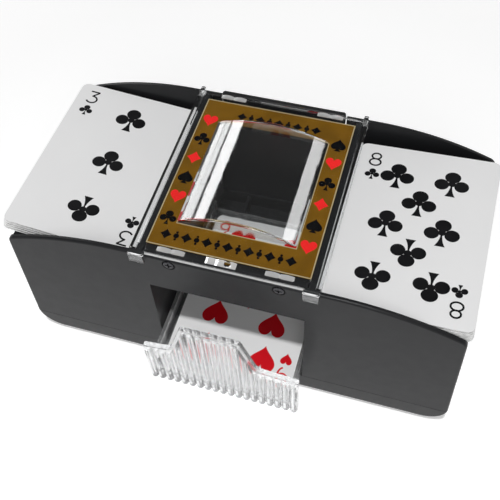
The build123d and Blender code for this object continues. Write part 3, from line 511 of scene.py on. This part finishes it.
# ---------------------------------------------------------------- clear cover, in millimetres
COVER_HALF, COVER_FRONT, COVER_BACK = 40.4, -48.2, 45.2
COVER_UNDER, COVER_TOP = 87.9, 89.4
RAIL_INNER, RAIL_FOOT, RAIL_TOP = 38.2, 84.0, 89.9
RAIL_HALF_LENGTH, RAIL_BACK = 46.2, 48.0
BURIED = 89.2  # level inside the plate that raised details start from
LIP_HALF, LIP_BACK = 34.4, -47.0
WINDOW_HALF, WINDOW_FRONT, WINDOW_BACK = 25.8, -29.6, 28.5
DOME_RADIUS, DOME_WALL = 56.8, 1.4
DOME_LOW, DOME_EDGE = 88.3, 90.95  # under all its faces, and under the edges that are rounder
LUG_X, LUG_Y, LUG_WIDTH, LUG_LENGTH, LUG_CORNER = 36.95, -47.4, 6.9, 6.2, 2.2
HOOK_Y, HOOK_LENGTH, HOOK_CORNER = -49.8, 1.4, 0.6
TAB_X, TAB_WIDTH, TAB_DEPTH, TAB_RISE, TAB_FRONT, TAB_BACK = 23.1, 12.4, 2.2, 0.8, -45.0, 43.9
LATCH_X, LATCH_WIDTH, LATCH_RISE, LATCH_FRONT, LATCH_BACK = -1.5, 13.0, 0.55, -46.7, -43.7
BOSS_X, BOSS_Y, BOSS_RADIUS, BOSS_TOP = 1.2, -45.0, 1.4, 90.7


def dome_outline(inset, floor_z):
    """Arch over the window, seen from the front, with square feet down to floor_z."""
    centre_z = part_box("clear_cover")[1].z / MM - DOME_RADIUS
    half, radius = WINDOW_HALF - inset, DOME_RADIUS - inset
    points = []
    for k in range(81):
        x = half - 2 * half * k / 80
        points.append((x, centre_z + math.sqrt(radius * radius - x * x)))
    return points + [(-half, floor_z), (half, floor_z)]


def humps(x, width, count, rise):
    """Outline of a row of low crowns along the cover's front or back edge."""
    half = width / 2
    points = [(x - half, BURIED), (x + half, BURIED)]
    for k in range(12 * count + 1):
        s = k / 12
        crown = abs(math.sin(math.pi * s)) ** 0.8
        points.append((x + half - width * s / count, COVER_TOP + (rise - 0.1) * crown + 0.05))
    return points


def cover_side(side):
    """Rail, front lug with its hook, and the two tabs of one side."""
    x0, x1 = sorted((side * RAIL_INNER, side * COVER_HALF))
    lug = shifted(rounded(LUG_WIDTH, LUG_LENGTH, LUG_CORNER), side * LUG_X, LUG_Y)
    hook = shifted(rounded(LUG_WIDTH, HOOK_LENGTH, HOOK_CORNER), side * LUG_X, HOOK_Y)
    solids = [
        block(x0, x1, -RAIL_HALF_LENGTH, RAIL_HALF_LENGTH, RAIL_FOOT, COVER_TOP),
        block(x0, x1, COVER_FRONT, RAIL_BACK, COVER_UNDER, RAIL_TOP),
        prism(lug, COVER_UNDER, RAIL_TOP),
        prism(hook, RAIL_FOOT, COVER_TOP),
    ]
    tab = humps(side * TAB_X, TAB_WIDTH, 2, TAB_RISE)
    for y in (TAB_FRONT, TAB_BACK):
        solids.append(prism(tab, y - TAB_DEPTH / 2, y + TAB_DEPTH / 2, upright=True))
    return solids


CLEAR, FROSTED, DOME, PLATE = range(4)


def cover_finish(part):
    """Which of the cover's four finishes a face has."""
    at = part.calc_center_median() / MM
    level = min(abs(at.z - COVER_UNDER), abs(at.z - COVER_TOP))
    if abs(part.normal.z) > 0.999 and level < 0.05:
        return PLATE
    in_window = abs(at.x) < WINDOW_HALF + 0.1 and WINDOW_FRONT - 0.1 < at.y < WINDOW_BACK + 0.1
    if in_window and at.z > DOME_LOW:
        return DOME
    along = abs(abs(at.x) - TAB_X) < TAB_WIDTH / 2 + 0.4 or abs(at.x - LATCH_X) < LATCH_WIDTH / 2 + 0.2
    across = LATCH_FRONT - 0.2 < at.y < LATCH_BACK + 0.1 or abs(at.y - TAB_BACK) < TAB_DEPTH / 2 + 0.3
    on_tab = along and across and at.z > COVER_TOP + 0.05
    on_lip = part.normal.y < -0.6 and at.y < -46.5 and abs(at.x) < LIP_HALF - 1.0
    return FROSTED if on_tab or on_lip else CLEAR


def cover():
    """Plate, rails, lugs, latch pad and boss, and the hollow dome over the window, as one solid."""
    solids = [
        block(-COVER_HALF, COVER_HALF, COVER_FRONT, COVER_BACK, COVER_UNDER, COVER_TOP),
        prism(dome_outline(0, COVER_UNDER), WINDOW_FRONT, WINDOW_BACK, upright=True),
        block(-LIP_HALF, LIP_HALF, COVER_FRONT, LIP_BACK, BURIED, RAIL_TOP),
        prism(humps(LATCH_X, LATCH_WIDTH, 3, LATCH_RISE), LATCH_FRONT, LATCH_BACK, upright=True),
        prism(disc(BOSS_X, BOSS_Y, BOSS_RADIUS, BOSS_RADIUS), BURIED, BOSS_TOP),
    ]
    for side in (-1, 1):
        solids += cover_side(side)
    inside = dome_outline(DOME_WALL, COVER_UNDER - 1.0)
    hollow = prism(inside, WINDOW_FRONT + DOME_WALL, WINDOW_BACK - DOME_WALL, upright=True)
    bm = softened(merged(solids, [hollow]), rounding=0.2, high_rounding=0.5, high_z=DOME_EDGE)
    for part in bm.faces:
        part.material_index = cover_finish(part)
    finishes = [clear_cover, clear_frosted, clear_dome, clear_plate]
    piece("cover_shell", bm, finishes, "cover", ["clear_cover"], 20)


cover()


# ---------------------------------------------------------------- drawer, in millimetres
PANEL_BACK, PANEL_WALL, PANEL_HALF = -63.0, 2.2, 36.5
PANEL_FOOT, PANEL_SHOULDER, SHOULDER_FALL, PANEL_TOP = 6.5, 38.6, 2.2, 60.8
HUMP_X, HUMP_BASE_HALF, HUMP_TOP_HALF = -2.9, 20.6, 13.4
HUMP_ROOT_RADIUS, HUMP_TOP_RADIUS = 5.0, 1.5
RIBS, RIB_RADIUS, RIB_DROP = 19, 1.75, 1.3
TRAY_HALF, TRAY_WALL, TRAY_BACK = 34.0, 1.6, 28.8
TRAY_UNDER, TRAY_FLOOR, TRAY_SIDE_TOP, TRAY_BACK_TOP = 12.2, 14.0, 26.0, 20.0


def corner_arc(before, corner, after, radius, count=8):
    """Points that round one corner of an outline."""
    b, c, a = Vector(before), Vector(corner), Vector(after)
    u, v = (b - c).normalized(), (a - c).normalized()
    half = u.angle(v) / 2
    start, end = c + u * (radius / math.tan(half)), c + v * (radius / math.tan(half))
    middle = c + (u + v).normalized() * (radius / math.sin(half))
    first = (start - middle).normalized()
    swing = first.angle_signed((end - middle).normalized())
    turned = [first.copy() for _ in range(count + 1)]
    for k, spoke in enumerate(turned):
        spoke.rotate(Matrix.Rotation(-swing * k / count, 2))
    return [tuple(middle + spoke * radius) for spoke in turned]


def panel_outline(drop):
    """The panel from the front, with its top edges lowered by drop."""
    low, high = PANEL_SHOULDER - drop, PANEL_TOP - drop
    base, top = HUMP_BASE_HALF - drop, HUMP_TOP_HALF - drop
    end = low - SHOULDER_FALL
    corners = [
        (PANEL_HALF, end),
        (HUMP_X + base, low),
        (HUMP_X + top, high),
        (HUMP_X - top, high),
        (HUMP_X - base, low),
        (-PANEL_HALF, end),
    ]
    points = [(-PANEL_HALF, PANEL_FOOT), (PANEL_HALF, PANEL_FOOT), corners[0]]
    radii = (HUMP_ROOT_RADIUS, HUMP_TOP_RADIUS, HUMP_TOP_RADIUS, HUMP_ROOT_RADIUS)
    for k, radius in enumerate(radii, 1):
        points += corner_arc(corners[k - 1], corners[k], corners[k + 1], radius)
    return points + [corners[5]]


def panel_ribs(front):
    """Round ribs, cut off a little below the panel's top edge."""
    pitch = 2 * (PANEL_HALF - RIB_RADIUS) / (RIBS - 1)
    columns = bmesh.new()
    for k in range(RIBS):
        x = -PANEL_HALF + RIB_RADIUS + k * pitch
        one = prism(disc(x, front, RIB_RADIUS, RIB_RADIUS, 40), PANEL_FOOT, PANEL_TOP)
        held = bpy.data.meshes.new("rib")
        one.to_mesh(held)
        columns.from_mesh(held)
        one.free()
    limit = prism(panel_outline(RIB_DROP), front - 2 * RIB_RADIUS, PANEL_BACK - 0.2, upright=True)
    return merged([columns], keep=[limit])


def drawer():
    """Ribbed panel and the open tray behind it, as one solid."""
    front, tray_front = PANEL_BACK - PANEL_WALL, PANEL_BACK - 0.5
    side_inner, back_inner = TRAY_HALF - TRAY_WALL, TRAY_BACK - TRAY_WALL
    bm = merged([
        panel_ribs(front),
        prism(panel_outline(0), front, PANEL_BACK, upright=True),
        block(-TRAY_HALF, TRAY_HALF, tray_front, TRAY_BACK, TRAY_UNDER, TRAY_FLOOR),
        block(-TRAY_HALF, -side_inner, tray_front, TRAY_BACK, TRAY_UNDER, TRAY_SIDE_TOP),
        block(side_inner, TRAY_HALF, tray_front, TRAY_BACK, TRAY_UNDER, TRAY_SIDE_TOP),
        block(-TRAY_HALF, TRAY_HALF, back_inner, TRAY_BACK, TRAY_UNDER, TRAY_BACK_TOP),
    ])
    piece("drawer_clear", softened(bm, 0.2), [clear_drawer], "drawer", ["drawer"], 28)


drawer()


# ---------------------------------------------------------------- cards, in millimetres
CARD = (63.0, 88.0, 3.2)  # width, length, corner radius
CARD_PITCH = 0.31  # one modelled card and the gap under it
CARD_GAP, CLUMP_GAP = 0.03, 0.13  # under each card, and under each clump
CARD_TURN = 0.08  # most that a card is turned, in degrees
LEFT_THICK, RIGHT_THICK, DRAWER_THICK = 5.2, 7.7, 4.0


def card_stack(name, node, body, matrix, thickness, drift, spread, clump):
    """Single cards, out of line in small clumps, with a wider gap under each clump."""
    bm = bmesh.new()
    count = round(thickness / CARD_PITCH)
    pitch = thickness / count
    outline = rounded(*CARD)
    for k in range(count):
        under_top = count - 1 - k
        base = (k * pitch - thickness / 2) * MM
        here, gap = matrix, 0.0
        if under_top:
            depth = under_top // clump * clump / count
            dx = drift[0] * depth + rng.uniform(-spread, spread)
            dy = drift[1] * depth + rng.uniform(-spread, spread)
            turn = Matrix.Rotation(math.radians(rng.uniform(-CARD_TURN, CARD_TURN)), 4, "Z")
            here = matrix @ Matrix.Translation((dx * MM, dy * MM, 0)) @ turn
            gap = CARD_GAP if under_top % clump else CLUMP_GAP
        high_z = base + (pitch - gap) * MM
        low = [bm.verts.new(here @ Vector((x * MM, y * MM, base))) for x, y in outline]
        high = [bm.verts.new(here @ Vector((x * MM, y * MM, high_z))) for x, y in outline]
        bm.faces.new(low[::-1])
        bm.faces.new(high)
        for a in range(len(outline)):
            b = (a + 1) % len(outline)
            # the sides take the grey finish, painted shade for the gaps between the cards
            bm.faces.new((low[a], low[b], high[b], high[a])).material_index = 1
    piece(name, bm, [paper, painted_edge_shade], body, [node])


def tray_matrix(side, turn, slip):
    """Middle of the upper cards in a sloped tray, where slip is how far the CAD's lower cards are off."""
    joint = next(j for j in frame["joints"] if j["child"] == f"stack_{side}")
    slope = math.atan2(joint["axis"][2], abs(joint["axis"][0]))
    sign = 1 if side == "right" else -1
    low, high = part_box(f"cards_{side}")
    return (
        Matrix.Translation((low + high) / 2 - Vector((*slip, 0)) * MM / 2)
        @ Matrix.Rotation(-sign * slope, 4, "Y")
        @ Matrix.Rotation(math.radians(turn), 4, "Z")
    )


def face(name, body, matrix, thickness, outlines, material):
    """Print on the top card of a stack."""
    bm = bmesh.new()
    lay(bm, outlines, matrix, thickness / 2 + PRINT_LIFT, 0, PRINT_STEP)
    piece(name, bm, [material], body)


def index_marks(digit, small, x, y_digit, y_small):
    """A numeral and a small suit in two opposite corners."""
    marks = placed(numeral(digit, 7.4), -x, y_digit) + placed(small, -x, y_small)
    return marks + placed(numeral(digit, 7.4), x, -y_digit, 180) + placed(small, x, -y_small, 180)


def spread_over(shape, places):
    """One shape at several places, each with its turn in degrees."""
    outlines = []
    for x, y, turn in places:
        outlines += placed(shape, x, y, turn)
    return outlines


left_at = tray_matrix("left", -1.5, (-1.3, -0.9))
right_at = tray_matrix("right", -0.7, (0.5, -0.1))
drawer_low, drawer_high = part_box("cards_drawer")
drawer_at = Matrix.Translation((drawer_low + drawer_high) / 2)
card_stack("card_pack_left", "cards_left", "stack_left", left_at, LEFT_THICK, (-1.35, -1.0), 0.05, 4)
card_stack("card_pack_right", "cards_right", "stack_right", right_at, RIGHT_THICK, (0.55, -0.15), 0.08, 5)
card_stack("card_pack_drawer", "cards_drawer", "drawer", drawer_at, DRAWER_THICK, (0.2, 0.0), 0.1, 3)

big_club, small_club = club(15.0, 14.0), club(6.6, 6.2)
three = spread_over(big_club, ((0, 28, 0), (0, 0.5, 0), (0, -27.5, 180)))
three += index_marks(3, small_club, 23.5, 36.0, 27.3)
face("card_face_three", "stack_left", left_at, LEFT_THICK, three, card_black)

eight_places = (
    (-12, 27.5, 0), (12, 27.5, 0), (0, 14.0, 0), (-12, 0.5, 0),
    (12, 0.5, 0), (0, -12.6, 180), (-12, -27, 180), (12, -27, 180),
)
eight = spread_over(big_club, eight_places) + index_marks(8, small_club, 23.3, 35.2, 26.4)
face("card_face_eight", "stack_right", right_at, RIGHT_THICK, eight, card_black)

big_heart, small_heart = heart(13.0, 13.4), heart(5.6, 6.0)
nine = placed(big_heart, 0.2, -1.0)
for x in (-14.4, 14.4):
    nine += spread_over(big_heart, ((x, 31.0, 0), (x, 12.3, 0), (x, -12.3, 180), (x, -31.0, 180)))
nine += index_marks(9, small_heart, 25.6, 36.8, 28.6)
face("card_face_nine", "drawer", drawer_at, DRAWER_THICK, nine, card_red)


# ---------------------------------------------------------------- label print, in millimetres
EDGE_LINE, WINDOW_LINE = 0.5, 0.4
SUIT_X, SUIT_TOP, SUIT_PITCH = 30.4, 29.0, 11.4
BLACK, RED = range(2)
SUITS = {
    "h": (heart(7.0, 7.0), RED),
    "s": (spade(6.8, 7.4), BLACK),
    "d": (diamond(6.6, 7.0), RED),
    "c": (club(7.4, 7.2), BLACK),
}
label_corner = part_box("label_insert")[1]
label_at = Matrix.Translation((0, 0, label_corner.z))


def border(x0, y0, x1, y1, width):
    """Four mitred strips along a rectangle's sides, inwards from it."""
    return [
        [(x0, y0), (x1, y0), (x1 - width, y0 + width), (x0 + width, y0 + width)],
        [(x1, y0), (x1, y1), (x1 - width, y1 - width), (x1 - width, y0 + width)],
        [(x1, y1), (x0, y1), (x0 + width, y1 - width), (x1 - width, y1 - width)],
        [(x0, y1), (x0, y0), (x0 + width, y0 + width), (x0 + width, y1 - width)],
    ]


def label_edges():
    """Pale lines round the label and round its window."""
    half_x, half_y = label_corner.x / MM, label_corner.y / MM
    x, front, back = WINDOW_HALF + WINDOW_LINE, WINDOW_FRONT - WINDOW_LINE, WINDOW_BACK + WINDOW_LINE
    bm = bmesh.new()
    lay(bm, border(-half_x, -half_y, half_x, half_y, EDGE_LINE), label_at, PRINT_LIFT, 0)
    lay(bm, border(x, back, -x, front, -WINDOW_LINE), label_at, PRINT_LIFT, 0)
    piece("label_edge", bm, [cream], "cover")


def label_suits():
    """A column of suits down each side of the window."""
    bm = bmesh.new()
    for x, order in ((-SUIT_X, "hcdshc"), (SUIT_X, "shcdsh")):
        for row, kind in enumerate(order):
            shape, ink = SUITS[kind]
            lay(bm, placed(shape, x, SUIT_TOP - SUIT_PITCH * row), label_at, PRINT_LIFT, ink, PRINT_STEP)
    piece("label_suits", bm, [label_black, label_red], "cover")


def ornament(count, pitch, height):
    """A row of bold lozenges, with a dot and two smaller ones between each pair."""
    shapes = []
    for k in range(-count, count + 1):
        if k % 2 == 0:
            shapes += placed(diamond(pitch * 1.12, height), k * pitch, 0)
        else:
            shapes.append(disc(k * pitch, 0, pitch * 0.27, pitch * 0.27))
            for end in (-1, 1):
                shapes.append(disc(k * pitch, end * height * 0.36, pitch * 0.13, pitch * 0.13, 16))
    return shapes


def label_ornament():
    """The rows at the front and the back of the label."""
    bm = bmesh.new()
    for row in (placed(ornament(6, 4.5, 5.0), -1.5, -36.2), placed(ornament(4, 4.4, 4.6), 1.0, 35.0)):
        lay(bm, row, label_at, PRINT_LIFT, 0, PRINT_STEP / 2)
    piece("label_ornament", bm, [label_black], "cover")


label_edges()
label_suits()
label_ornament()


# ---------------------------------------------------------------- push bar springs
SPRING_TURNS, SPRING_STEPS = 5.5, 150
WIRE_RADIUS, WIRE_SIDES = 0.22 * MM, 8
CLOSED_END = 0.12  # share of the coil at each end that lies flat


def springs():
    """Two wire coils with closed ends."""
    low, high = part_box("bar_springs")
    coil_radius = (high.y - low.y) / 2 - WIRE_RADIUS
    round_wire = [2 * math.pi * q / WIRE_SIDES for q in range(WIRE_SIDES)]
    bm = bmesh.new()
    for side in (-1, 1):
        centre = Vector((side * (high.x - coil_radius - WIRE_RADIUS), (low.y + high.y) / 2, 0))
        rings = []
        for k in range(SPRING_STEPS + 1):
            s = k / SPRING_STEPS
            a = 2 * math.pi * SPRING_TURNS * s
            climb = min(1.0, max(0.0, (s - CLOSED_END) / (1 - 2 * CLOSED_END)))
            z = low.z + WIRE_RADIUS + (high.z - low.z - 2 * WIRE_RADIUS) * climb
            out = Vector((math.cos(a), math.sin(a), 0))
            ring_points = [
                centre
                + out * (coil_radius + WIRE_RADIUS * math.cos(b))
                + Vector((0, 0, z + WIRE_RADIUS * math.sin(b)))
                for b in round_wire
            ]
            rings.append([bm.verts.new(point) for point in ring_points])
        for first, second in zip(rings, rings[1:]):
            for q in range(WIRE_SIDES):
                after = (q + 1) % WIRE_SIDES
                bm.faces.new((first[q], first[after], second[after], second[q]))
        bm.faces.new(rings[0][::-1])
        bm.faces.new(rings[-1])
    bmesh.ops.recalc_face_normals(bm, faces=bm.faces)
    coils = piece("spring_coils", bm, [steel], "shell", ["bar_springs"], 60)
    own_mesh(coils)


springs()


# ---------------------------------------------------------------- floor, light, camera
WHITE = (1.0, 1.0, 1.0, 1.0)
LID = Vector((0, 0, 0.09))
STRIP = (0.13, 0.34)  # width and length of the lamps beside the lid


def floor_finish():
    """Matt white that glows more with distance, so that the floor runs into the backdrop."""
    t = Tree("floor_white")
    t.set(Base_Color=(0.86, 0.86, 0.86, 1.0), Emission_Color=WHITE)
    t.feed("Roughness", t.ramp(t.noise(40.0), 0.68, 0.74))
    t.feed("Normal", t.bump(t.noise(4.0), 0.01))
    distance = t.node("ShaderNodeVectorMath", operation="LENGTH")
    t.link(t.where, distance.inputs[0])
    t.feed("Emission Strength", t.ramp(distance.outputs["Value"], 0.36, 0.82, 0.25, 1.0))
    return t.material


def stand():
    """A wide flat floor at the feet's undersides."""
    bm = bmesh.new()
    bmesh.ops.create_grid(bm, x_segments=2, y_segments=2, size=12.0)
    mesh = bpy.data.meshes.new("floor")
    bm.to_mesh(mesh)
    bm.free()
    mesh.materials.append(floor_finish())
    floor = bpy.data.objects.new("floor", mesh)
    floor.location.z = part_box("rubber_feet")[0].z
    scene.collection.objects.link(floor)


def backdrop():
    """A white studio that is bright round the horizon and dim overhead."""
    world = bpy.data.worlds.new("studio")
    world.use_nodes = True
    links, sky = world.node_tree.links, world.node_tree.nodes
    parts = sky.new("ShaderNodeSeparateXYZ")
    links.new(sky.new("ShaderNodeTexCoord").outputs["Generated"], parts.inputs[0])
    fade = sky.new("ShaderNodeMapRange")
    fade.interpolation_type = "SMOOTHSTEP"
    for socket, value in (("From Min", 0.05), ("From Max", 0.45), ("To Min", 0.95), ("To Max", 0.08)):
        fade.inputs[socket].default_value = value
    links.new(parts.outputs["Z"], fade.inputs["Value"])
    links.new(fade.outputs["Result"], sky["Background"].inputs["Strength"])
    sky["Background"].inputs["Color"].default_value = WHITE
    scene.world = world
    scene.view_settings.view_transform = "Standard"


def softbox(name, direction, distance, size, power, mirror_only=False):
    """A rectangular lamp aimed at the lid; one that is mirror_only shows in gloss but lights nothing."""
    data = bpy.data.lights.new(name, "AREA")
    data.shape = "RECTANGLE"
    data.size, data.size_y = size
    data.energy = power
    lamp = bpy.data.objects.new(name, data)
    towards = Vector(direction).normalized()
    across = Vector((0, 1, 0)).cross(towards).normalized()
    along = towards.cross(across)
    facing = Matrix((across, along, towards)).transposed().to_4x4()
    lamp.matrix_world = Matrix.Translation(LID + towards * distance) @ facing
    lamp.visible_camera = False
    lamp.visible_diffuse = not mirror_only
    scene.collection.objects.link(lamp)


def look_from(aim, azimuth, elevation, roll, distance, lens):
    """The camera, by where it aims and the angles in degrees that it looks from."""
    turn, rise = math.radians(azimuth), math.radians(elevation)
    level = math.cos(rise)
    back = Vector((math.sin(turn) * level, -math.cos(turn) * level, math.sin(rise)))
    data = bpy.data.cameras.new("camera")
    data.sensor_width = 36.0
    data.lens = lens
    camera = bpy.data.objects.new("camera", data)
    camera.location = Vector(aim) + back * distance
    camera.rotation_mode = "QUATERNION"
    tilt = Quaternion((0, 0, 1), math.radians(roll))
    camera.rotation_quaternion = (-back).to_track_quat("-Z", "Y") @ tilt
    scene.collection.objects.link(camera)
    scene.camera = camera


stand()
backdrop()
softbox("key_front_top", (0.05, -0.29, 0.956), 1.0, (0.05, 0.05), 7.0)
softbox("fill_front", (0.15, -0.74, 0.66), 1.0, (0.5, 0.4), 2.0)
softbox("strip_left_bright", (-0.665, 0.52, 0.535), 0.8, STRIP, 0.72, True)
softbox("strip_left_dim", (-0.775, 0.52, 0.36), 0.8, STRIP, 0.55, True)
softbox("strip_back", (-0.12, 0.97, 0.16), 0.9, (0.5, 0.14), 1.4, True)
softbox("strip_right", (0.52, 0.52, 0.68), 0.8, STRIP, 0.48, True)
look_from((-0.0026, -0.0063, 0.042), 19.82, 56.42, -4.16, 0.3654, 54.52)
